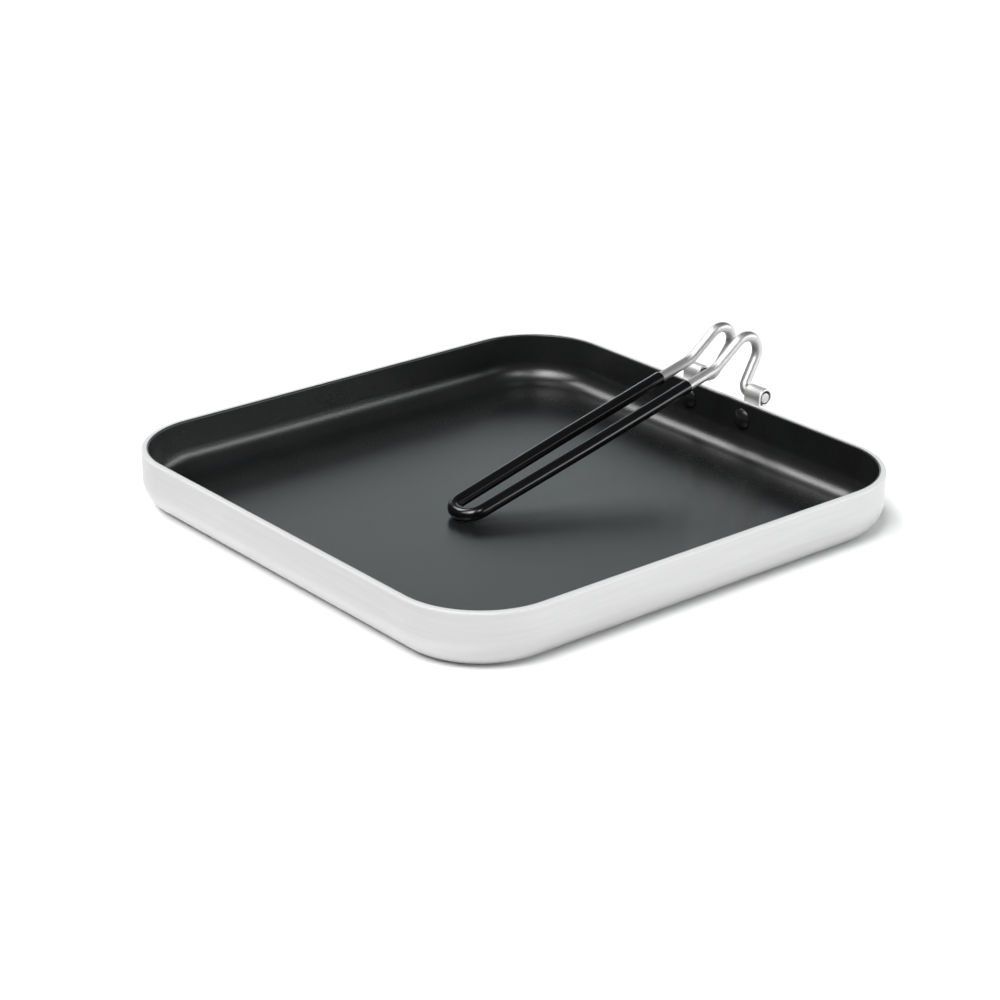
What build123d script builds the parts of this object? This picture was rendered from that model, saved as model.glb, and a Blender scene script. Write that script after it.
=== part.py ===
# Square egg pan with a folding wire handle
# Millimetres, Z up. The pan rests on Z = 0, centred on the Z axis.
# The handle is hinged outside the +Y wall and is drawn folded, its tip down on the pan floor.
import os
from math import cos, radians, sin

from build123d import *

# Pan shell, pressed from one plate
pan_side = 250.0
pan_height = 26.0
plate_thickness = 3.0
corner_radius = 39.3
rim_round = 0.7

# Non-stick layer on the inside, bonded to the shell
layer_thickness = 0.1

# Handle wire
wire_diameter = 4.8
grip_coat_thickness = 0.65
pin_clearance = 0.1
pin_end_chamfer = 0.4

# Handle shape in side view, measured back from the hinge axis and up from it
handle_reach = 157.3
knee_back = 15.9
knee_rise = 12.9
crest_out = 2.7
crest_rise = 26.6
shoulder_out = 12.7
shoulder_rise = 18.4
bare_wire_back = 32.4

# Half the distance between the two legs, at the tip and along the grip
tip_half_gap = 7.4
leg_half_gap = 8.3
taper_share = 0.46

# From the legs' centre lines at the hinge to the barrels
barrel_setback = 5.0

# Bend radii of the wire's centre line, the first and last as shares of the room that they have
tip_bend_share = 0.93
taper_bend = 90.0
knee_bend = 14.0
arch_bend = 8.0
pin_bend_share = 0.88

# Gap left under the tip when the handle lies folded
tip_clearance = 0.3

# Hinge bracket, a stamped strip with two rolled barrels
bracket_thickness = 1.5
bracket_half_width = 25.0
barrel_length = 9.8
hinge_above_rim = 2.6
bracket_bottom_below_rim = 12.6
bracket_top_below_rim = 1.9
bracket_corner = 4.0
tab_root_round = 2.0
curl_wrap = 300.0

# Rivets
rivet_spacing = 35.2
rivet_below_rim = 7.8
rivet_above_curve = 0.2
rivet_shank = 4.0
rivet_head = 10.0
rivet_head_rise = 2.4
rivet_tail = 7.0
rivet_tail_rise = 1.3
rivet_clearance = 0.05

# How far cutting tools run past what they cut
overrun = 5.0

# Places worked out from the sizes above
# The curve from wall to base ends just under the rivet heads
rivet_z = pan_height - rivet_below_rim
base_radius = rivet_z - rivet_head / 2 - rivet_above_curve
inner_side = pan_side - 2 * plate_thickness
inner_corner = corner_radius - plate_thickness
inner_base_radius = base_radius - plate_thickness
outer_wall_y = pan_side / 2
inner_wall_y = inner_side / 2
layer_top = pan_height - rim_round
layer_face_y = inner_wall_y - layer_thickness
floor_top = plate_thickness + layer_thickness

wire_radius = wire_diameter / 2
grip_radius = wire_radius + grip_coat_thickness
barrel_bore = wire_radius + pin_clearance
barrel_radius = barrel_bore + bracket_thickness
bracket_face_y = outer_wall_y + bracket_thickness
hinge_y = bracket_face_y + barrel_bore
hinge_z = pan_height + hinge_above_rim
barrel_start = bracket_half_width - barrel_length
hinge_half_gap = barrel_start - barrel_setback
tip_bend = tip_half_gap * tip_bend_share
pin_bend = barrel_setback * pin_bend_share


def tray(side, corner, bottom, top, bottom_radius):
    """Solid block of square plan with round corners and a round bottom edge."""
    plan = Plane.XY.offset(bottom) * RectangleRounded(side, side, corner)
    block = extrude(plan, top - bottom)
    return fillet(block.faces().sort_by(Axis.Z)[0].edges(), bottom_radius)


def rivet_places():
    """One place on the handle wall for each rivet, looking out along +Y."""
    return [Location((x, 0, rivet_z), (-90, 0, 0)) for x in (-rivet_spacing / 2, rivet_spacing / 2)]


def rivet_holes():
    """Cutters for the rivet shanks, through the layer, the wall and the bracket."""
    hole = Cylinder(rivet_shank / 2 + rivet_clearance, bracket_face_y + overrun,
                    align=(Align.CENTER, Align.CENTER, Align.MIN))
    return Compound([place * hole for place in rivet_places()])


def pan_body():
    outside = tray(pan_side, corner_radius, 0, pan_height, base_radius)
    cavity = tray(inner_side, inner_corner, plate_thickness, pan_height + overrun, inner_base_radius)
    shell = outside - cavity
    rim = shell.faces().sort_by(Axis.Z)[-1]
    return fillet(rim.edges(), rim_round) - rivet_holes()


def nonstick_layer():
    filled = tray(inner_side, inner_corner, plate_thickness, layer_top, inner_base_radius)
    emptied = tray(inner_side - 2 * layer_thickness, inner_corner - layer_thickness, floor_top,
                   layer_top + overrun, inner_base_radius - layer_thickness)
    return filled - emptied - rivet_holes()


def hinge_bracket():
    """Plate with two straps that rise past the rim and roll outwards round the hinge axis."""
    bracket_bottom = pan_height - bracket_bottom_below_rim
    blank = round_below(2 * bracket_half_width, bracket_bottom, hinge_z, bracket_corner)
    window_bottom = pan_height - bracket_top_below_rim
    window = round_below(2 * barrel_start, window_bottom, hinge_z + overrun, tab_root_round)
    outward = Plane((0, outer_wall_y, 0), x_dir=(1, 0, 0), z_dir=(0, -1, 0))
    bracket = extrude(outward * (blank - window), -bracket_thickness)

    mouth = 180 + 360 - curl_wrap
    reach = 2 * barrel_radius
    wedge = make_face(Polyline((0, 0), (-reach, 0), (reach * cos(radians(mouth)), reach * sin(radians(mouth))),
                               close=True))
    roll = Circle(barrel_radius) - Circle(barrel_bore) - wedge
    for start in (-bracket_half_width, barrel_start):
        across = Plane((start, hinge_y, hinge_z), x_dir=(0, 1, 0), z_dir=(1, 0, 0))
        bracket += extrude(across * roll, barrel_length)
    return bracket - rivet_holes()


def round_below(width, bottom, top, corner):
    """Rectangle across the centre line with its two lower corners rounded."""
    plain = Pos(0, bottom) * Rectangle(width, top - bottom, align=(Align.CENTER, Align.MIN))
    return fillet(plain.vertices().group_by(Axis.Y)[0], corner)


def rivets():
    """Domed heads inside the pan, shanks through the wall, upset tails on the bracket."""
    grip_length = bracket_face_y - layer_face_y
    shank = Cylinder(rivet_shank / 2, grip_length, align=(Align.CENTER, Align.CENTER, Align.MIN))
    one = shank + Rot(180, 0, 0) * dome(rivet_head, rivet_head_rise)
    one += Pos(0, 0, grip_length) * dome(rivet_tail, rivet_tail_rise)
    return Compound([place * Pos(0, 0, layer_face_y) * one for place in rivet_places()])


def dome(diameter, rise):
    """Cap of a ball, flat side down on Z = 0."""
    ball_radius = (diameter ** 2 / 4 + rise ** 2) / (2 * rise)
    ball = Pos(0, 0, rise - ball_radius) * Sphere(ball_radius)
    return split(ball, bisect_by=Plane.XY, keep=Keep.TOP)


def side_point(half_gap, back, rise):
    """Point of the right leg, back from the hinge axis and up from it."""
    return Vector(half_gap, hinge_y - back, hinge_z + rise)


def grip_point(share, half_gap):
    """Point of the grip's straight run, from the tip at 0 to the knee at 1."""
    tip_drop = hinge_z - floor_top - tip_clearance - grip_radius
    back = handle_reach + share * (knee_back - handle_reach)
    rise = -tip_drop + share * (knee_rise + tip_drop)
    return side_point(half_gap, back, rise)


def mirrored_path(half, bends):
    """Tangent path through the right leg's corners, from the left end round the tip to the right end."""
    left = [Vector(-p.X, p.Y, p.Z) for p in half]
    return FilletPolyline(*reversed(left), *half, radius=[*reversed(bends), *bends])


def round_bar(path, radius):
    return sweep(Plane(path @ 0, z_dir=path % 0) * Circle(radius), path=path)


def handle_path():
    corners = [
        grip_point(0, tip_half_gap),
        grip_point(taper_share, leg_half_gap),
        grip_point(1, leg_half_gap),
        side_point(leg_half_gap, -crest_out, crest_rise),
        side_point(leg_half_gap, -shoulder_out, shoulder_rise),
        side_point(hinge_half_gap, 0, 0),
        side_point(bracket_half_width, 0, 0),
    ]
    bends = [tip_bend, taper_bend, knee_bend, arch_bend, arch_bend, pin_bend]
    return mirrored_path(corners, bends)


def handle_wire():
    wire = round_bar(handle_path(), wire_radius)
    ends = wire.faces().filter_by(GeomType.PLANE).edges()
    return chamfer(ends, pin_end_chamfer)


def grip_coating(wire):
    """Dipped sleeve round the tip and the straight run of both legs."""
    coated_share = (handle_reach - bare_wire_back) / (handle_reach - knee_back)
    corners = [
        grip_point(0, tip_half_gap),
        grip_point(taper_share, leg_half_gap),
        grip_point(coated_share, leg_half_gap),
    ]
    bar = round_bar(mirrored_path(corners, [tip_bend, taper_bend]), grip_radius)
    ends = bar.faces().filter_by(GeomType.PLANE).edges()
    return fillet(ends, grip_coat_thickness / 2) - wire


wire = handle_wire()
nodes = {
    "pan_body": pan_body(),
    "nonstick_layer": nonstick_layer(),
    "hinge_bracket": hinge_bracket(),
    "rivets": rivets(),
    "handle_wire": wire,
    "grip_coating": grip_coating(wire),
}

os.makedirs("parts", exist_ok=True)
for name, shape in nodes.items():
    export_step(shape, f"parts/{name}.step")
    print(name, "solids", len(shape.solids()), "volume", round(shape.volume))
print("hinge axis at Y", round(hinge_y, 3), "Z", round(hinge_z, 3))
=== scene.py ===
# Square egg pan with a folding wire handle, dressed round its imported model
# Sizes in the dictionaries are in millimetres unless a note says otherwise
import math

import bpy
import numpy as np
from mathutils import Matrix


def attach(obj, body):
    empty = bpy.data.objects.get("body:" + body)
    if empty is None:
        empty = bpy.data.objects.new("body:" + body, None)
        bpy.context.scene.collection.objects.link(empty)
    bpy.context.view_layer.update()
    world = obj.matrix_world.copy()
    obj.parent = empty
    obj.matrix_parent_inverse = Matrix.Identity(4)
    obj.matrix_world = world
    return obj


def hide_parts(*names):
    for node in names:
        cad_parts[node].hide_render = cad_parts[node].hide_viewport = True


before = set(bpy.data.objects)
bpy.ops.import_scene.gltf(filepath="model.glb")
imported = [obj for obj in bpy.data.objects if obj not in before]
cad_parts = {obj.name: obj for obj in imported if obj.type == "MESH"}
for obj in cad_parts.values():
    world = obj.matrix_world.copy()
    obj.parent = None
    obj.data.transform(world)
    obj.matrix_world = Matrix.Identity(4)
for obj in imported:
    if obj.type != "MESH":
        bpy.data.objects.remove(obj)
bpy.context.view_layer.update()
print("stage: frame loaded")

millimetre = 0.001      # metres


# Mesh tools


def gridFaces(rows, columns, closeRows=False):
    # Quads (r, c), (r, c + 1), (r + 1, c + 1), (r + 1, c) of a grid whose columns close into a ring,
    # and its rows too where closeRows says so
    row, column = np.indices((rows if closeRows else rows - 1, columns)).reshape(2, -1)
    here, below, beside = row * columns, (row + 1) % rows * columns, (column + 1) % columns
    return np.stack([here + column, here + beside, below + beside, below + column], axis=1)


def fanFaces(pole, ring):
    # Triangles (pole, point, next point) round a closed ring
    return np.stack([np.full(len(ring), pole), ring, np.roll(ring, -1)], axis=1)


def cappedFaces(rows, columns):
    # A ringed grid and the fans that close its first and last rings, whose poles follow the grid's points
    firstPole = rows * columns
    firstRing = np.arange(columns)
    return [gridFaces(rows, columns), fanFaces(firstPole, firstRing)[:, ::-1],
            fanFaces(firstPole + 1, firstRing + firstPole - columns)]


def addPiece(name, points, faceGroups, body, node, straight=None):
    # One closed smooth mesh of the points times a millimetre, riding on its body in place of its node
    faces = [face for group in faceGroups for face in group.tolist()]
    mesh = bpy.data.meshes.new(name)
    mesh.from_pydata((points * millimetre).tolist(), [], faces)
    mesh.shade_smooth()
    if straight is not None:
        attribute = mesh.attributes.new("straight", "FLOAT_VECTOR", "POINT")
        attribute.data.foreach_set("vector", (straight * millimetre).astype(np.float32).ravel())
    mesh.validate()
    piece = bpy.data.objects.new(name, mesh)
    bpy.context.scene.collection.objects.link(piece)
    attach(piece, body)
    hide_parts(node)
    return piece


def arcPoints(centreA, centreB, radius, startDegrees, endDegrees, steps):
    # Points on a flat arc: centre plus radius times (cos t, sin t)
    angle = np.radians(np.linspace(startDegrees, endDegrees, steps + 1))
    return np.stack([centreA + radius * np.cos(angle), centreB + radius * np.sin(angle)], axis=1)


def unit(vectors):
    # Each vector divided by its own length
    return vectors / np.linalg.norm(vectors, axis=-1, keepdims=True)


# Pan shell and its non-stick skin

pan = {
    "side": 250.0,
    "height": 26.0,
    "plate": 3.0,
    "planCorner": 39.3,
    "baseCurve": 13.0,
    "rimRound": 0.7,
    "skin": 0.1,
    "rimThinning": 0.3,     # share of the skin left where it ends on the rim
    "support": 0.25,        # how far from a curve the rows that keep flat faces flat stand
    "floorRings": (0.99, 0.75, 0.5, 0.25, 0.05),    # rings on the flat base, as shares of its edge
    "cornerSteps": 44,
    "sideSteps": 16,
    "curveSteps": 22,
    "rimSteps": 6,
}


def squareOutline():
    # Points of the rounded square and the outward direction at each, anticlockwise: the +X side and the arc
    # after it, flat + corner * (cos a, sin a), turned by 0, 90, 180 and 270 degrees
    corner, near = pan["planCorner"], pan["support"]
    flat = pan["side"] / 2 - corner
    run = np.concatenate([[-flat, -flat + near], np.linspace(-flat, flat, pan["sideSteps"] + 1)[1:-1],
                          [flat - near, flat]])
    angle = np.radians(np.linspace(0, 90, pan["cornerSteps"] + 1))[1:-1]
    cornerOut = np.stack([np.cos(angle), np.sin(angle)], axis=1)
    sidePoints = np.stack([np.full(len(run), pan["side"] / 2), run], axis=1)
    quarterPoints = np.vstack([sidePoints, flat + corner * cornerOut])
    quarterOut = np.vstack([np.tile([1.0, 0.0], (len(run), 1)), cornerOut])
    points, outward = [], []
    for quarter in range(4):
        turn = math.radians(90 * quarter)
        spin = np.array([[math.cos(turn), math.sin(turn)], [-math.sin(turn), math.cos(turn)]])
        points.append(quarterPoints @ spin)
        outward.append(quarterOut @ spin)
    return np.vstack(points), np.vstack(outward)


def carriedRound(profile):
    # Each profile row (inset, height) makes a ring: the outline less inset times its outward direction.
    # Copies of the first and of the last ring shrink towards the middle, each by its share
    outline, outward = squareOutline()
    rings = outline[None] - profile[:, None, :1] * outward[None]
    height = np.repeat(profile[:, 1:], len(outline), axis=1)
    points = np.concatenate([rings, height[..., None]], axis=2)
    before = np.stack([points[0] * [share, share, 1] for share in reversed(pan["floorRings"])])
    after = np.stack([points[-1] * [share, share, 1] for share in pan["floorRings"]])
    return np.concatenate([before, points, after])


def closedShell(name, profile, node):
    # The profile carried round, with a pole in the middle of its first and of its last ring
    grid = carriedRound(profile)
    poles = [[0, 0, profile[0, 1]], [0, 0, profile[-1, 1]]]
    points = np.vstack([grid.reshape(-1, 3), poles])
    return addPiece(name, points, cappedFaces(*grid.shape[:2]), "pan", node)


def wallRows(inset):
    # Rows of an upright wall from the base curve to the rim: near its two ends and halfway
    base, top, near = pan["baseCurve"], pan["height"], pan["support"]
    return np.array([[inset, base + near], [inset, (base + top) / 2], [inset, top - pan["rimRound"] - near]])


def shellProfile():
    # From the underside's edge round the base curve, up the outside, over the rim and down to the floor:
    # straight walls joined by arcs about the centres of the base curve and of the rim's two edges
    base, plate, rim = pan["baseCurve"], pan["plate"], pan["rimRound"]
    edge = pan["height"] - rim
    return np.vstack([
        arcPoints(base, base, base, 270, 180, pan["curveSteps"]),
        wallRows(0),
        arcPoints(rim, edge, rim, 180, 90, pan["rimSteps"]),
        [[plate / 2, pan["height"]]],
        arcPoints(plate - rim, edge, rim, 90, 0, pan["rimSteps"]),
        wallRows(plate)[::-1],
        arcPoints(base, base, base - plate, 180, 270, pan["curveSteps"]),
    ])


def skinProfile():
    # Against the plate from the floor up to the rim's flat top, and back down one skin further in.
    # Over the rim the share of the full skin falls evenly from 1 to rimThinning
    base, plate, rim = pan["baseCurve"], pan["plate"], pan["rimRound"]
    face, edge = plate + pan["skin"], pan["height"] - rim
    back = arcPoints(plate - rim, edge, rim, 0, 90, pan["rimSteps"])
    full = arcPoints(plate - rim, edge, rim + pan["skin"], 90, 0, pan["rimSteps"])
    share = np.linspace(pan["rimThinning"], 1, pan["rimSteps"] + 1)[:, None]
    front = back[::-1] + (full - back[::-1]) * share
    return np.vstack([
        arcPoints(base, base, base - plate, 270, 180, pan["curveSteps"]),
        wallRows(plate),
        back,
        front,
        wallRows(face)[::-1],
        arcPoints(base, base, base - face, 180, 270, pan["curveSteps"]),
    ])


shell = closedShell("pan_shell", shellProfile(), "pan_body")
skin = closedShell("nonstick_skin", skinProfile(), "nonstick_layer")
print("stage: pan made")


# Handle wire and grip

handle = {
    "hinge": (129.0, 28.6),             # Y and Z of the hinge axis
    "tip": (-28.3, 6.45),               # Y and Z of the wire's centre line at the tip
    "knee": (113.1, 41.5),
    "crest": (131.7, 55.2),
    "shoulder": (141.7, 47.0),
    "tipHalfGap": 7.4,
    "legHalfGap": 8.3,
    "hingeHalfGap": 10.2,
    "pinEnd": 25.0,
    "taperShare": 0.46,                 # where the legs reach their full gap: 0 is the tip, 1 the knee
    "bends": (6.882, 90.0, 14.0, 8.0, 8.0, 4.4),    # from the tip to the pin
    "wireRadius": 2.39,
    "pinRound": 0.4,
    "gripRadius": 3.05,
    "gripOverlap": 0.05,                # how far the sleeve's inside lies in the wire
    "gripEnd": (96.6, 37.41),           # Y and Z where the coating ends
    "gripTaper": 1.1,                   # length over which the coating thins out at its ends
    "gripSwell": 0.8,                   # shape of the thinning: 1 is a quarter ellipse, less is fuller
    "leftShorter": 1.4,                 # how much sooner the dip ends on the left leg
    "bendStep": 3.0,                    # degrees from one ring to the next in a bend
    "runStep": 4.0,                     # distance from one ring to the next on a straight run
    "bendRings": 4,                     # fewest rings in a bend
    "runRings": 3,                      # fewest rings on a straight run
    "lastRings": 6,                     # rings on the path's last run
    "pinSteps": 4,
    "taperSteps": 8,
    "sideGuess": (0.7, -0.4, 0.59),     # a direction that no run of the wire has
    "around": 56,
}
samePlace = 1e-6        # rings nearer than this are one


def roundedPath(corners, bends):
    # Straight runs joined by tangent arcs, start + bend * (sin t * before + (1 - cos t) * inward):
    # arrays of points, tangents and distances along the path
    directions = unit(np.diff(corners, axis=0))
    points, tangents = [], []
    here = corners[0]
    for corner, before, after, bend in zip(corners[1:-1], directions[:-1], directions[1:], bends):
        turn = math.acos(float(np.clip(before @ after, -1, 1)))
        setback = bend * math.tan(turn / 2)
        start = corner - before * setback
        run = np.linalg.norm(start - here)
        count = max(handle["runRings"], int(run / handle["runStep"]) + 1)
        share = np.linspace(0, 1, count)[:, None]
        points.append(here + (start - here) * share)
        tangents.append(np.tile(before, (count, 1)))
        inward = unit(after - before * (before @ after))
        count = max(handle["bendRings"], int(math.degrees(turn) / handle["bendStep"]))
        angle = np.linspace(0, turn, count)[1:-1, None]
        points.append(start + bend * (np.sin(angle) * before + (1 - np.cos(angle)) * inward))
        tangents.append(np.cos(angle) * before + np.sin(angle) * inward)
        here = corner + after * setback
    share = np.linspace(0, 1, handle["lastRings"])[:, None]
    points.append(here + (corners[-1] - here) * share)
    tangents.append(np.tile(directions[-1], (handle["lastRings"], 1)))
    points, tangents = np.vstack(points), np.vstack(tangents)
    steps = np.linalg.norm(np.diff(points, axis=0), axis=1)
    kept = np.concatenate([[True], steps > samePlace])
    points, tangents = points[kept], tangents[kept]
    distance = np.concatenate([[0], np.cumsum(np.linalg.norm(np.diff(points, axis=0), axis=1))])
    return points, tangents, distance


def mirrored(vectors, normals):
    # Each vector less twice its part along the mirror's normal
    size = (normals ** 2).sum(1, keepdims=True)
    return vectors - 2 / size * (normals * vectors).sum(1, keepdims=True) * normals


def carriedSides(points, tangents):
    # A side direction square to the path that doesn't twist. Two mirrors carry each guessed side to the next
    # point, the angle from there to the next guess is the twist, and the twists so far are turned back
    side = unit(np.cross(tangents, unit(np.array(handle["sideGuess"]))))
    step = np.diff(points, axis=0)
    change = tangents[1:] - mirrored(tangents[:-1], step)
    carried = mirrored(mirrored(side[:-1], step), change)
    across = np.cross(tangents[1:], carried)
    twist = np.arctan2((side[1:] * across).sum(1), (side[1:] * carried).sum(1))
    total = np.concatenate([[0], np.cumsum(twist)])[:, None]
    return np.cos(total) * side - np.sin(total) * np.cross(tangents, side)


def tubeAlong(path, stations, radii):
    # Rings about the path: its point at each station plus radius times (cos a * side + sin a * up).
    # Straight holds the same rings as if the path were one straight line, for the patterns along the wire
    points, tangents, distance = path
    side = carriedSides(points, tangents)

    def at(values):
        # Values between two path points, in proportion to the distance from each
        return np.stack([np.interp(stations, distance, values[:, k]) for k in range(3)], axis=1)

    centre, ahead, side = at(points), unit(at(tangents)), unit(at(side))
    up = np.cross(ahead, side)
    angle = np.linspace(0, 2 * math.pi, handle["around"], endpoint=False)
    radius = radii[:, None, None]
    rim = np.cos(angle)[None, :, None] * side[:, None] + np.sin(angle)[None, :, None] * up[:, None]
    grid = centre[:, None] + radius * rim
    flat = np.stack([np.cos(angle), np.sin(angle)], axis=1)
    along = np.broadcast_to(stations[:, None, None], (len(stations), handle["around"], 1))
    straight = np.concatenate([radius * flat[None], along], axis=2)
    return grid, straight, centre


def handleCorners():
    # Right leg's corners (x, y, z) from the tip to the pin's end
    tip, knee, gap = np.array(handle["tip"]), np.array(handle["knee"]), handle["legHalfGap"]
    taper = tip + handle["taperShare"] * (knee - tip)
    return np.array([
        (handle["tipHalfGap"], *tip),
        (gap, *taper),
        (gap, *knee),
        (gap, *handle["crest"]),
        (gap, *handle["shoulder"]),
        (handle["hingeHalfGap"], *handle["hinge"]),
        (handle["pinEnd"], *handle["hinge"]),
    ])


def mirroredPath(corners, bends):
    # The corners in reverse with x turned to -x, then the corners themselves, joined by the bends
    left = corners[::-1] * [-1, 1, 1]
    return roundedPath(np.vstack([left, corners]), [*reversed(bends), *bends])


def shapedEnds(distance, first, ends, endRadii, radius):
    # Stations and radii from first to the path's end: the end's own steps, the full radius from twice their
    # length on, and the same steps mirrored
    last, clear = distance[-1], 2 * ends[-1]
    middle = distance[(distance > first + clear) & (distance < last - clear)]
    stations = np.concatenate([first + ends, [first + clear], middle, [last - clear], last - ends[::-1]])
    radii = np.concatenate([endRadii, np.full(len(middle) + 2, radius), endRadii[::-1]])
    return stations, radii, middle


def handleWire():
    # A tube of one radius, with a quarter circle round the edge of each pin's end and a pole in its middle
    path = mirroredPath(handleCorners(), handle["bends"])
    radius, edge = handle["wireRadius"], handle["pinRound"]
    turn = np.radians(np.linspace(90, 0, handle["pinSteps"] + 1))
    ends = edge * (1 - np.sin(turn))
    endRadii = radius - edge + edge * np.cos(turn)
    stations, radii, _ = shapedEnds(path[2], 0, ends, endRadii, radius)
    grid, straight, centre = tubeAlong(path, stations, radii)
    points = np.vstack([grid.reshape(-1, 3), centre[:1], centre[-1:]])
    straight = np.vstack([straight.reshape(-1, 3), [[0, 0, stations[0]], [0, 0, stations[-1]]]])
    return addPiece("bent_wire", points, cappedFaces(*grid.shape[:2]), "handle",
                    "handle_wire", straight)


def gripSleeve():
    # Outside from one end to the other, thinning out at both as sin t to a power, then back along the wire
    corners = handleCorners()[:3]
    corners[2, 1:] = handle["gripEnd"]
    path = mirroredPath(corners, handle["bends"][:2])
    outer, inner = handle["gripRadius"], handle["wireRadius"] - handle["gripOverlap"]
    turn = np.radians(np.linspace(0, 90, handle["taperSteps"] + 1))
    ends = handle["gripTaper"] * (1 - np.cos(turn))
    endRadii = inner + (outer - inner) * np.sin(turn) ** handle["gripSwell"]
    outside, outsideRadii, middle = shapedEnds(path[2], handle["leftShorter"], ends, endRadii, outer)
    stations = np.concatenate([outside, middle[::-1]])
    radii = np.concatenate([outsideRadii, np.full(len(middle), inner)])
    grid, straight, _ = tubeAlong(path, stations, radii)
    faceGroups = [gridFaces(*grid.shape[:2], closeRows=True)]
    return addPiece("grip_sleeve", grid.reshape(-1, 3), faceGroups, "handle",
                    "grip_coating", straight.reshape(-1, 3))


wire = handleWire()
grip = gripSleeve()
print("stage: handle made")


# Rivets

rivet = {
    "places": (-17.6, 17.6),
    "height": 18.2,
    "headFace": 121.9,      # Y of the skin's face, where the heads sit
    "tailFace": 126.1,      # Y of the bracket's outer face
    "headRadius": 5.0,
    "headRise": 2.4,
    "headEdge": 0.35,
    "shankRadius": 2.0,
    "tailRadius": 3.5,
    "tailRise": 1.3,
    "tailEdge": 0.25,
    "uprightShare": 0.6,    # share of the edge's height that stands upright
    "leanShare": 0.15,      # how far it has leaned in at the top, as a share of its height
    "domeRings": 18,
    "around": 64,
}


def capProfile(radius, rise, edge):
    # Flattened dome as (radius, height): an upright edge that leans in under an arc, which ends at the crown.
    # The arc's radius is (radius squared + crown squared) / (2 * crown)
    crown = rise - edge
    ball = (radius ** 2 + crown ** 2) / (2 * crown)
    reach = math.asin(min(1.0, radius / ball))
    angle = np.linspace(reach, 0, rivet["domeRings"])
    dome = np.stack([ball * np.sin(angle), edge + ball * np.cos(angle) - (ball - crown)], axis=1)
    dome[0] = [radius - edge * rivet["leanShare"], edge]
    return np.vstack([[[radius, 0.0], [radius, edge * rivet["uprightShare"]]], dome])


def rivetPair():
    # Profile (radius, y) turned about each rivet's axis, (x + radius * cos a, y, height + radius * sin a):
    # head's crown to its edge, shank, and tail's edge to its crown
    head = capProfile(rivet["headRadius"], rivet["headRise"], rivet["headEdge"])[::-1]
    tail = capProfile(rivet["tailRadius"], rivet["tailRise"], rivet["tailEdge"])
    headPart = np.stack([head[:, 0], rivet["headFace"] - head[:, 1]], axis=1)
    tailPart = np.stack([tail[:, 0], rivet["tailFace"] + tail[:, 1]], axis=1)
    shank = [[rivet["shankRadius"], rivet["headFace"]], [rivet["shankRadius"], rivet["tailFace"]]]
    profile = np.vstack([headPart[1:], shank, tailPart[:-1]])
    rows, columns = len(profile), rivet["around"]
    angle = np.linspace(0, 2 * math.pi, columns, endpoint=False)
    points, faceGroups = [], []
    for x in rivet["places"]:
        first = sum(len(part) for part in points)
        grid = np.stack([x + profile[:, :1] * np.cos(angle), np.repeat(profile[:, 1:], columns, axis=1),
                         rivet["height"] + profile[:, :1] * np.sin(angle)], axis=2)
        poles = [[x, headPart[0, 1], rivet["height"]], [x, tailPart[-1, 1], rivet["height"]]]
        points.append(np.vstack([grid.reshape(-1, 3), poles]))
        faceGroups += [first + faces[:, ::-1] for faces in cappedFaces(rows, columns)]
    return addPiece("rivet_pair", np.vstack(points), faceGroups, "pan", "rivets")


rivetHeads = rivetPair()
print("stage: rivets made")


# Hinge bracket: one sheet with two straps that roll loosely round the wire ends

bracket = {
    "halfWidth": 25.0,
    "strapStart": 15.2,
    "bottom": 13.4,
    "windowBottom": 24.1,
    "cornerRound": 4.0,
    "windowRound": 2.0,
    "wallFace": 125.0,
    "sheet": 1.1,
    "sheetEdge": 0.3,       # radius of the sheet's rounded edges
    "rollRadius": 4.15,     # outside of the roll
    "rollRise": 0.25,       # roll's centre above the hinge axis, as the wire ends lie low in it
    "wrapDegrees": 300.0,
    "roundSteps": 8,
    "strapSteps": 5,
    "webSteps": 7,
    "edgeSteps": 3,
    "plateRows": 8,
    "strapRows": 46,
}
onEdge = 1e-3           # a column this near to the strap's side is on it


def roundColumns(first, last, radius, steps):
    # Columns across a flat part in even steps, then across its rounded corner at radius times sin t
    lean = np.sin(np.radians(np.linspace(0, 90, bracket["roundSteps"] + 1)))
    flat = last - radius
    return np.concatenate([np.linspace(first, flat, steps + 1)[:-1], flat + radius * lean])


def cornerRise(x, start, radius):
    # Height of a rounded corner at x: radius less the root of radius squared less (x - start) squared
    past = np.clip(x - start, 0, radius)
    return radius - np.sqrt(radius ** 2 - past ** 2)


def sheetOutline(inset):
    # Columns across both halves and, for each, the heights of the sheet's bottom and of the window's edge
    half, start = bracket["halfWidth"] - inset, bracket["strapStart"] + inset
    cornerRound, windowRound = bracket["cornerRound"] - inset, bracket["windowRound"] + inset
    web = roundColumns(0, start, windowRound, bracket["webSteps"])
    strap = roundColumns(start, half, cornerRound, bracket["strapSteps"])
    x = np.concatenate([web, strap[1:]])
    bottom = bracket["bottom"] + inset + cornerRise(x, half - cornerRound, cornerRound)
    edge = bracket["windowBottom"] - inset + cornerRise(x, start - windowRound, windowRound)
    return [np.concatenate([sign * line[:0:-1], line]) for sign, line in ((-1, x), (1, bottom), (1, edge))]


def rolled(x, travel, depth):
    # Sheet bent from flat: upright on the wall up to the roll's centre, then round that centre by an angle
    # of the travel left over the sheet's middle radius. Depth is into the sheet, from the face on the wall
    radius, top = bracket["rollRadius"], handle["hinge"][1] + bracket["rollRise"]
    centreY = bracket["wallFace"] + radius
    turn = math.pi - np.clip(travel - top, 0, None) / (radius - bracket["sheet"] / 2)
    reach = radius - depth
    flat = travel <= top
    y = np.where(flat, bracket["wallFace"] + depth, centreY + reach * np.cos(turn))
    z = np.where(flat, travel, top + reach * np.sin(turn))
    return np.stack([x, y, z], axis=-1)


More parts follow.
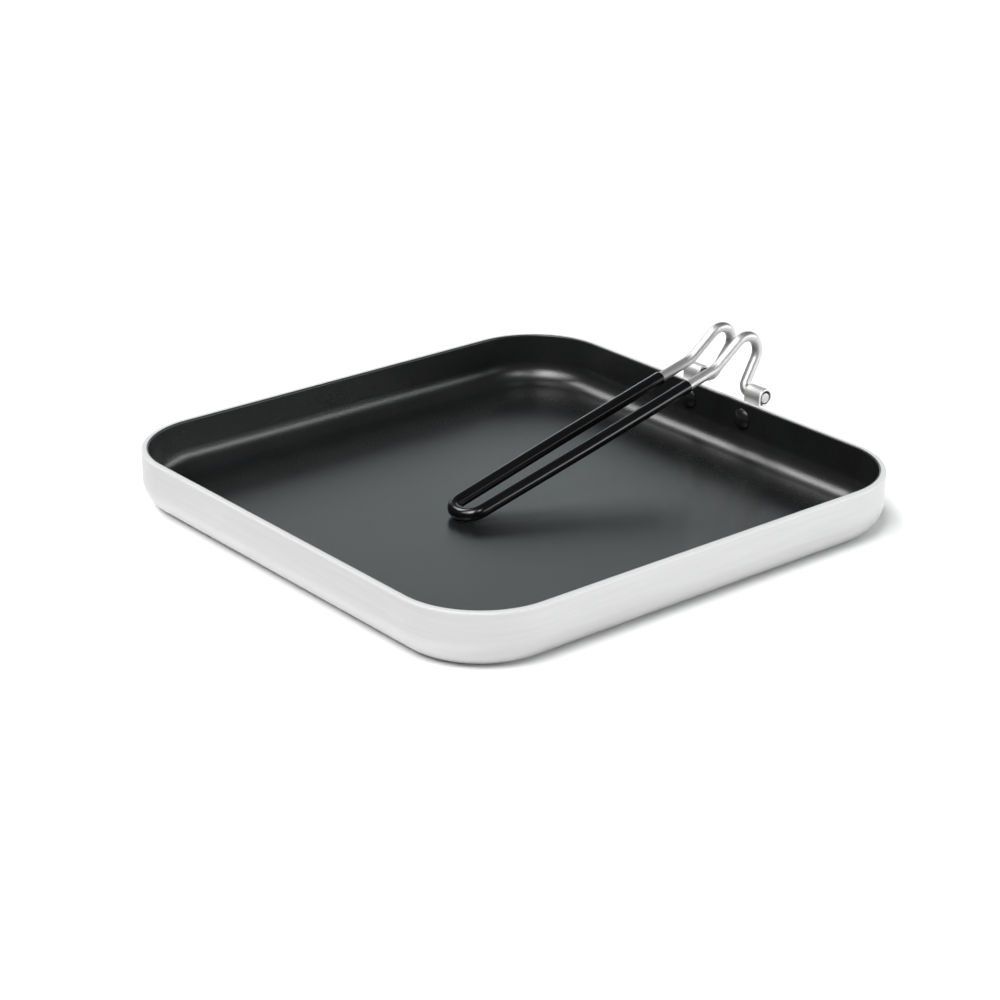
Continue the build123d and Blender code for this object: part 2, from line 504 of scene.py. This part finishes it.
def sheetLevels():
    # One grid of points for each level through the sheet, all with the same rows and columns, and the cells
    # that are sheet. On the rounded edges the depth is edge * (1 - sin t) and the inset edge * (1 - cos t)
    edge, sheet, low = bracket["sheetEdge"], bracket["sheet"], bracket["plateRows"]
    turn = np.radians(np.linspace(0, 90, bracket["edgeSteps"] + 1))
    rise = edge * (1 - np.sin(turn))
    lean = edge * (1 - np.cos(turn))
    depths = np.concatenate([rise[::-1], sheet - rise])
    insets = np.concatenate([lean[::-1], lean])
    top = handle["hinge"][1] + bracket["rollRise"]
    rollLength = math.radians(bracket["wrapDegrees"]) * (bracket["rollRadius"] - sheet / 2)
    levels = []
    for depth, inset in zip(depths, insets):
        x, bottom, windowEdge = sheetOutline(inset)
        end = top + rollLength - inset
        lower = bottom + np.linspace(0, 1, low + 1)[:, None] * (windowEdge - bottom)
        upper = windowEdge + np.linspace(0, 1, bracket["strapRows"] + 1)[1:, None] * (end - windowEdge)
        travel = np.vstack([lower, upper])
        levels.append(rolled(np.broadcast_to(x, travel.shape), travel, depth))
    rows, columns = levels[0].shape[:2]
    strap = np.abs(levels[0][0, :, 0]) >= bracket["strapStart"] + insets[0] - onEdge
    cell = np.ones((rows - 1, columns - 1), bool)
    cell[low:] = strap[:-1] & strap[1:]
    return levels, cell


def cellFaces(cell):
    # Quads of the cells that are sheet, and the directed grid edges that have such a cell on one side only
    columns = cell.shape[1] + 1
    row, column = np.nonzero(cell)
    here, below = row * columns + column, (row + 1) * columns + column
    quads = np.stack([here, here + 1, below + 1, below], axis=1)
    edges = np.concatenate([quads[:, [k, (k + 1) % 4]] for k in range(4)])
    stride = quads.max() + 1
    key, reverse = edges[:, 0] * stride + edges[:, 1], edges[:, 1] * stride + edges[:, 0]
    return quads, edges[~np.isin(key, reverse)]


def bracketPiece():
    # The first level's cells, the last level's turned over, and quads from each level's outline to the next
    levels, cell = sheetLevels()
    quads, sides = cellFaces(cell)
    count = levels[0].shape[0] * levels[0].shape[1]
    faceGroups = [quads, quads[:, ::-1] + (len(levels) - 1) * count]
    for level in range(len(levels) - 1):
        near, far = sides + level * count, sides + (level + 1) * count
        faceGroups.append(np.stack([near[:, 1], near[:, 0], far[:, 0], far[:, 1]], axis=1))
    points = np.vstack([level.reshape(-1, 3) for level in levels])
    used = np.unique(np.concatenate([group.ravel() for group in faceGroups]))
    renumber = np.zeros(len(points), int)
    renumber[used] = np.arange(len(used))
    return addPiece("hinge_strip", points[used], [renumber[group] for group in faceGroups], "pan",
                    "hinge_bracket")


strip = bracketPiece()
print("stage: bracket made")


# Shader arithmetic

noiseMean = 0.5
noiseRoughness = 0.55       # how strong the finer detail of a noise is


class Term:
    # A socket whose sums, differences and products become Math nodes

    def __init__(self, recipe, socket):
        self.recipe = recipe
        self.socket = socket

    def __add__(self, other):
        return self.recipe.math("ADD", self, other)

    def __radd__(self, other):
        return self.recipe.math("ADD", other, self)

    def __sub__(self, other):
        return self.recipe.math("SUBTRACT", self, other)

    def __rsub__(self, other):
        return self.recipe.math("SUBTRACT", other, self)

    def __mul__(self, other):
        return self.recipe.math("MULTIPLY", self, other)

    def __rmul__(self, other):
        return self.recipe.math("MULTIPLY", other, self)

    def __abs__(self):
        return self.recipe.math("ABSOLUTE", self)


class Recipe:
    # The nodes of one material or sky, and the shader that they feed

    def __init__(self, tree, shader, **constants):
        # Constants go on the shader's own sockets, an underscore standing for a space in their names
        self.tree = tree
        self.shader = shader
        for socketName, value in constants.items():
            self.shader.inputs[socketName.replace("_", " ")].default_value = value

    def add(self, kind, settings=None, inputs=None, output=0):
        # Any node: its settings first, then the values or links of its sockets
        node = self.tree.nodes.new(kind)
        for key, value in (settings or {}).items():
            setattr(node, key, value)
        for key, value in (inputs or {}).items():
            if isinstance(value, Term):
                self.tree.links.new(value.socket, node.inputs[key])
            else:
                node.inputs[key].default_value = value
        return Term(self, node.outputs[output])

    def math(self, operation, first, second=0.0):
        # One Math node on two values, or on the first alone
        return self.add("ShaderNodeMath", {"operation": operation}, {0: first, 1: second})

    def ramp(self, value, low, high):
        # 0 at low, 1 at high, smooth between
        return self.add("ShaderNodeMapRange", {"interpolation_type": "SMOOTHSTEP"},
                        {"Value": value, "From Min": low, "From Max": high})

    def place(self):
        # Place on the object, in metres
        return self.add("ShaderNodeTexCoord", output="Object")

    def straight(self):
        # Place on the wire as if it were straight, from its mesh
        return self.add("ShaderNodeAttribute", {"attribute_name": "straight"}, output="Vector")

    def noise(self, vector, scale, detail, stretch=(1, 1, 1)):
        # Noise of scale features in a metre, times the stretch along each axis
        stretched = self.add("ShaderNodeVectorMath", {"operation": "MULTIPLY"}, {0: vector, 1: stretch})
        return self.add("ShaderNodeTexNoise", None,
                        {"Vector": stretched, "Scale": scale, "Detail": detail, "Roughness": noiseRoughness})

    def axis(self, vector, name):
        # One part of a vector
        return self.add("ShaderNodeSeparateXYZ", None, {0: vector}, output=name)

    def blend(self, factor, first, second):
        # Colours mixed: first at 0, second at 1
        return self.add("ShaderNodeMix", {"data_type": "RGBA"}, {0: factor, 6: first, 7: second}, output=2)

    def bump(self, height, distance):
        # Relief of a height from 0 to 1 over a distance in metres
        return self.add("ShaderNodeBump", None, {"Height": height, "Distance": distance, "Strength": 1.0})

    def feed(self, **links):
        # Links to the shader's sockets, an underscore standing for a space in their names
        for socketName, value in links.items():
            self.tree.links.new(value.socket, self.shader.inputs[socketName.replace("_", " ")])


def finish(name, **constants):
    # A new material and the recipe that fills it
    material = bpy.data.materials.new(name)
    material.use_nodes = True
    return material, Recipe(material.node_tree, material.node_tree.nodes["Principled BSDF"], **constants)


def swing(noise, strength):
    # The noise about its mean, times a strength
    return (noise - noiseMean) * strength


def grey(level, warmth=0.0):
    # Red is the level times (1 + warmth), green the level, blue the level times (1 - warmth)
    return (level * (1 + warmth), level, level * (1 - warmth), 1.0)


def dress(piece, material):
    # The material in place of all that the piece had
    piece.data.materials.clear()
    piece.data.materials.append(material)


# Finishes. A noise is (features in a metre, detail, stretch), a swing is how far it moves the roughness,
# and a band is the two places in metres between which one finish turns into another

aluminium = {
    "bright": 0.57,
    "dull": 0.54,
    "rim": 0.72,
    "roughness": 0.37,
    "rimRoughness": 0.85,
    "rimBand": (0.0246, 0.0253),
    "underBand": (0.0002, 0.0012),
    "fineStreaks": (60.0, 2.0, (1, 1, 45)),
    "wideStreaks": (22.0, 3.0, (1, 1, 30)),
    "clouds": (18.0, 2.0),
    "scuffs": (420.0, 4.0, (1, 0.12, 1)),
    "fineSwing": 0.08,
    "wideSwing": 0.05,
    "cloudSwing": 0.12,
    "scuffSwing": 0.25,
    "scuffMean": 0.45,      # level of the scuffs that leaves the roughness as it is
    "fineTone": 0.5,        # shares of fine streaks and scuffs in the tone, beside the wide streaks
    "scuffTone": 0.6,
    "toneRange": (0.25, 0.75),
    "fineRelief": 0.6,
    "wideRelief": 0.4,
    "scuffRelief": 0.8,
    "grain": 0.00002,       # depth of the relief in metres
}


def satinAluminium():
    # Level streaks round the wall, a matt rim and a scuffed underside. Roughness is the wall's, plus each
    # noise's swing, plus on the rim the rim's difference, plus on the underside the scuffs
    material, recipe = finish("satin_aluminium", Metallic=1.0)
    place = recipe.place()
    height = recipe.axis(place, "Z")
    fine = recipe.noise(place, *aluminium["fineStreaks"])
    wide = recipe.noise(place, *aluminium["wideStreaks"])
    cloud = recipe.noise(place, *aluminium["clouds"])
    scuff = recipe.noise(place, *aluminium["scuffs"])
    rim = recipe.ramp(height, *aluminium["rimBand"])
    under = 1 - recipe.ramp(height, *aluminium["underBand"])
    roughness = (aluminium["roughness"] + swing(fine, aluminium["fineSwing"])
                 + swing(wide, aluminium["wideSwing"]) + swing(cloud, aluminium["cloudSwing"])
                 + rim * (aluminium["rimRoughness"] - aluminium["roughness"])
                 + under * (scuff - aluminium["scuffMean"]) * aluminium["scuffSwing"])
    streaks = wide + swing(fine, aluminium["fineTone"])
    tone = recipe.ramp(streaks - under * swing(scuff, aluminium["scuffTone"]), *aluminium["toneRange"])
    colour = recipe.blend(tone, grey(aluminium["dull"]), grey(aluminium["bright"]))
    colour = recipe.blend(rim, colour, grey(aluminium["rim"]))
    relief = (fine * aluminium["fineRelief"] + wide * aluminium["wideRelief"]
              + under * scuff * aluminium["scuffRelief"])
    recipe.feed(Base_Color=colour, Roughness=roughness, Normal=recipe.bump(relief, aluminium["grain"]))
    return material


nonstick = {
    "dark": (0.00672, 0.0070, 0.00735, 1.0),
    "light": (0.00893, 0.0094, 0.009964, 1.0),
    "index": 1.58,              # of refraction
    "roughness": 0.24,
    "borderRoughness": 0.29,    # beyond the flat floor
    "borderBand": (0.088, 0.106),
    "peel": (1500.0, 2.0),
    "clouds": (35.0, 4.0),
    "specks": (5200.0, 1.0),
    "cloudRange": (0.3, 0.7),
    "cloudSwing": 0.05,
    "peelSwing": 0.08,
    "speckRelief": 0.4,
    "floorRelief": 0.4,         # share of the relief left on the flat floor
    "grain": 0.00004,
}


def nonstickFilm():
    # Sprayed film: faint clouds in its sheen, and fine orange peel with specks, weaker on the flat floor.
    # The border is where the larger of |x| and |y| passes the band
    material, recipe = finish("nonstick_film", IOR=nonstick["index"])
    place = recipe.place()
    peel = recipe.noise(place, *nonstick["peel"])
    cloud = recipe.noise(place, *nonstick["clouds"])
    speck = recipe.noise(place, *nonstick["specks"])
    colour = recipe.blend(recipe.ramp(cloud, *nonstick["cloudRange"]), nonstick["dark"], nonstick["light"])
    across, along = abs(recipe.axis(place, "X")), abs(recipe.axis(place, "Y"))
    border = recipe.math("MAXIMUM", recipe.ramp(across, *nonstick["borderBand"]),
                         recipe.ramp(along, *nonstick["borderBand"]))
    roughness = (nonstick["roughness"] + border * (nonstick["borderRoughness"] - nonstick["roughness"])
                 + swing(cloud, nonstick["cloudSwing"]) + swing(peel, nonstick["peelSwing"]))
    strength = border * (1 - nonstick["floorRelief"]) + nonstick["floorRelief"]
    relief = (peel + speck * nonstick["speckRelief"]) * strength
    recipe.feed(Base_Color=colour, Roughness=roughness, Normal=recipe.bump(relief, nonstick["grain"]))
    return material


wireSteel = {
    "bright": 0.50,
    "dull": 0.465,
    "warmth": 0.005,
    "roughness": 0.45,
    "lines": (2200.0, 2.0, (1, 1, 0.008)),
    "clouds": (160.0, 2.0, (1, 1, 0.4)),
    "lineSwing": 0.14,
    "cloudSwing": 0.06,
    "grain": 0.00006,
}

stripSteel = {
    "bright": 0.70,
    "dull": 0.644,
    "warmth": 0.008,
    "roughness": 0.52,
    "lines": (1400.0, 3.0, (0.02, 1, 1)),
    "clouds": (150.0, 2.0),
    "lineSwing": 0.16,
    "cloudSwing": 0.08,
    "grain": 0.000012,
}


def linedSteel(name, steel, placeOn):
    # Bare steel whose fine lines run along the wire, wherever it bends, or across the bracket's sheet
    material, recipe = finish(name, Metallic=1.0)
    place = placeOn(recipe)
    lines = recipe.noise(place, *steel["lines"])
    cloud = recipe.noise(place, *steel["clouds"])
    roughness = (steel["roughness"] + swing(lines, steel["lineSwing"])
                 + swing(cloud, steel["cloudSwing"]))
    colour = recipe.blend(lines, grey(steel["dull"], steel["warmth"]), grey(steel["bright"], steel["warmth"]))
    recipe.feed(Base_Color=colour, Roughness=roughness, Normal=recipe.bump(lines, steel["grain"]))
    return material


vinyl = {
    "colour": (0.0015, 0.0015, 0.0019, 1.0),
    "dusty": (0.00225, 0.00225, 0.00285, 1.0),
    "index": 1.48,          # of refraction
    "roughness": 0.21,
    "sag": (110.0, 2.0, (1, 1, 0.5)),
    "dust": (2600.0, 2.0),
    "sagSwing": 0.08,
    "dustSwing": 0.06,
    "grain": 0.00006,
}


def dippedVinyl():
    # Glossy dip that set with a slight unevenness
    material, recipe = finish("dipped_black_vinyl", IOR=vinyl["index"])
    along = recipe.straight()
    sag = recipe.noise(along, *vinyl["sag"])
    dust = recipe.noise(along, *vinyl["dust"])
    colour = recipe.blend(dust, vinyl["colour"], vinyl["dusty"])
    roughness = (vinyl["roughness"] + swing(sag, vinyl["sagSwing"])
                 + swing(dust, vinyl["dustSwing"]))
    recipe.feed(Base_Color=colour, Roughness=roughness, Normal=recipe.bump(sag, vinyl["grain"]))
    return material


rivetFinish = {
    "film": (0.0070, 0.0070, 0.00735, 1.0),
    "bare": 0.78,
    "bareFrom": 0.1235,     # metres along Y, inside the wall
    "index": 1.45,          # of refraction
    "roughness": 0.26,
    "peel": (1600.0, 2.0),
    "hammer": (900.0, 3.0),
    "peelSwing": 0.08,
    "hammerSwing": 0.2,
    "hammerMean": 0.1,      # level of the hammer marks that leaves the roughness as it is
    "peelRelief": 0.4,
    "grain": 0.00003,
}


def rivetMetal():
    # The film covers the heads inside the pan, and the tails outside are bare and hammered
    material, recipe = finish("rivet_film_and_metal", IOR=rivetFinish["index"])
    place = recipe.place()
    bare = recipe.math("GREATER_THAN", recipe.axis(place, "Y"), rivetFinish["bareFrom"])
    peel = recipe.noise(place, *rivetFinish["peel"])
    hammer = recipe.noise(place, *rivetFinish["hammer"])
    colour = recipe.blend(bare, rivetFinish["film"], grey(rivetFinish["bare"]))
    roughness = (rivetFinish["roughness"] + swing(peel, rivetFinish["peelSwing"])
                 + bare * (hammer - rivetFinish["hammerMean"]) * rivetFinish["hammerSwing"])
    relief = peel * rivetFinish["peelRelief"] + bare * hammer
    recipe.feed(Base_Color=colour, Roughness=roughness, Metallic=bare,
                Normal=recipe.bump(relief, rivetFinish["grain"]))
    return material


dress(shell, satinAluminium())
dress(skin, nonstickFilm())
dress(wire, linedSteel("drawn_steel_wire", wireSteel, Recipe.straight))
dress(grip, dippedVinyl())
dress(rivetHeads, rivetMetal())
dress(strip, linedSteel("rolled_steel_strip", stripSteel, Recipe.place))
print("stage: finishes on")


# Studio: pale floor, dim surround and soft lamps

studio = {
    "floorHalf": 30.0,          # metres
    "floorPale": 0.92,
    "base": 0.07,               # brightness of the sky outside the panels
    "cool": (0.90, 1.0, 1.02),  # tint of the walls
    # Panels far off: azimuth from +X and elevation of the middle, half width, half height and soft edge,
    # all in degrees, and brightness
    "softboxes": {
        "left_softbox": (190, 51, 19, 8, 4, 9.5),
        "front_softbox": (281, 55, 33, 16, 5, 6.3),
        "front_core": (296, 54, 15, 14, 6, 7.5),
        "high_fill": (352, 53, 10, 10, 4, 7.5),
        "right_wall": (42, 10, 28, 7, 5, 4.7),
        "low_glow": (280, 1, 108, 3, 2, 1.0),
    },
    "walls": {
        "far_wall": (100, 6, 75, 8, 6, 1.7),
        "left_wall": (148, 20, 26, 10, 4, 0.71),
    },
}


def paleFloor():
    # A matt square level with the pan's base, its middle at the origin
    half = studio["floorHalf"]
    corners = [(-half, -half, 0), (half, -half, 0), (half, half, 0), (-half, half, 0)]
    mesh = bpy.data.meshes.new("floor")
    mesh.from_pydata(corners, [], [(0, 1, 2, 3)])
    floor = bpy.data.objects.new("floor", mesh)
    bpy.context.scene.collection.objects.link(floor)
    material, _ = finish("pale_floor", Base_Color=grey(studio["floorPale"]), Roughness=1.0,
                         Specular_IOR_Level=0.0)
    dress(floor, material)


def surround():
    # Sky brightness: the base plus each panel's own, faded over its soft edge in azimuth and in elevation
    world = bpy.data.worlds.new("studio_surround")
    world.use_nodes = True
    sky = Recipe(world.node_tree, world.node_tree.nodes["Background"], Strength=1.0)
    toward = sky.add("ShaderNodeTexCoord", output="Generated")
    east, north, up = (sky.axis(toward, name) for name in "XYZ")
    azimuth = sky.math("ARCTAN2", north, east)
    elevation = sky.math("ARCSINE", up)

    def lit(panels, total):
        # The total plus, for each panel, brightness times share of its width times share of its height
        for *degrees, bright in panels.values():
            azimuthMiddle, elevationMiddle, halfWidth, halfHeight, soft = map(math.radians, degrees)
            turn = sky.add("ShaderNodeMath", {"operation": "WRAP"},
                           {0: azimuth - azimuthMiddle, 1: math.pi, 2: -math.pi})
            inWidth = sky.ramp(abs(turn), halfWidth + soft, halfWidth - soft)
            inHeight = sky.ramp(abs(elevation - elevationMiddle), halfHeight + soft, halfHeight - soft)
            total = inWidth * inHeight * bright + total
        return total

    plain = lit(studio["softboxes"], studio["base"])
    tinted = lit(studio["walls"], 0.0)
    channels = {k: tinted * share + plain for k, share in enumerate(studio["cool"])}
    sky.feed(Color=sky.add("ShaderNodeCombineXYZ", None, channels))
    bpy.context.scene.world = world


paleFloor()
surround()

camera = {
    "place": (803.0, -666.4, 442.4),
    "ahead": (-0.7121, 0.5860, -0.3867),
    "rollDegrees": 0.121,
    "focalShare": 2.6118,       # focal length over the picture's width
    "sensor": 36.0,
    "clip": (0.05, 50.0),       # metres
}


def photoCamera():
    # Camera axes: back is against the view, side is level and square to it, up is square to both,
    # and side and up are then turned by the roll
    data = bpy.data.cameras.new("photo_camera")
    data.sensor_width = camera["sensor"]
    data.lens = camera["focalShare"] * camera["sensor"]
    data.clip_start, data.clip_end = camera["clip"]
    eye = bpy.data.objects.new("photo_camera", data)
    bpy.context.scene.collection.objects.link(eye)
    back = -unit(np.array(camera["ahead"]))
    side = unit(np.cross([0, 0, 1], back))
    up = np.cross(back, side)
    roll = math.radians(camera["rollDegrees"])
    turn = np.eye(4)
    turn[:3, 0] = math.cos(roll) * side + math.sin(roll) * up
    turn[:3, 1] = math.cos(roll) * up - math.sin(roll) * side
    turn[:3, 2] = back
    turn[:3, 3] = np.array(camera["place"]) * millimetre
    eye.matrix_world = Matrix(turn.tolist())
    bpy.context.scene.camera = eye


photoCamera()
bpy.context.scene.view_settings.view_transform = "Standard"
print("stage: studio set")
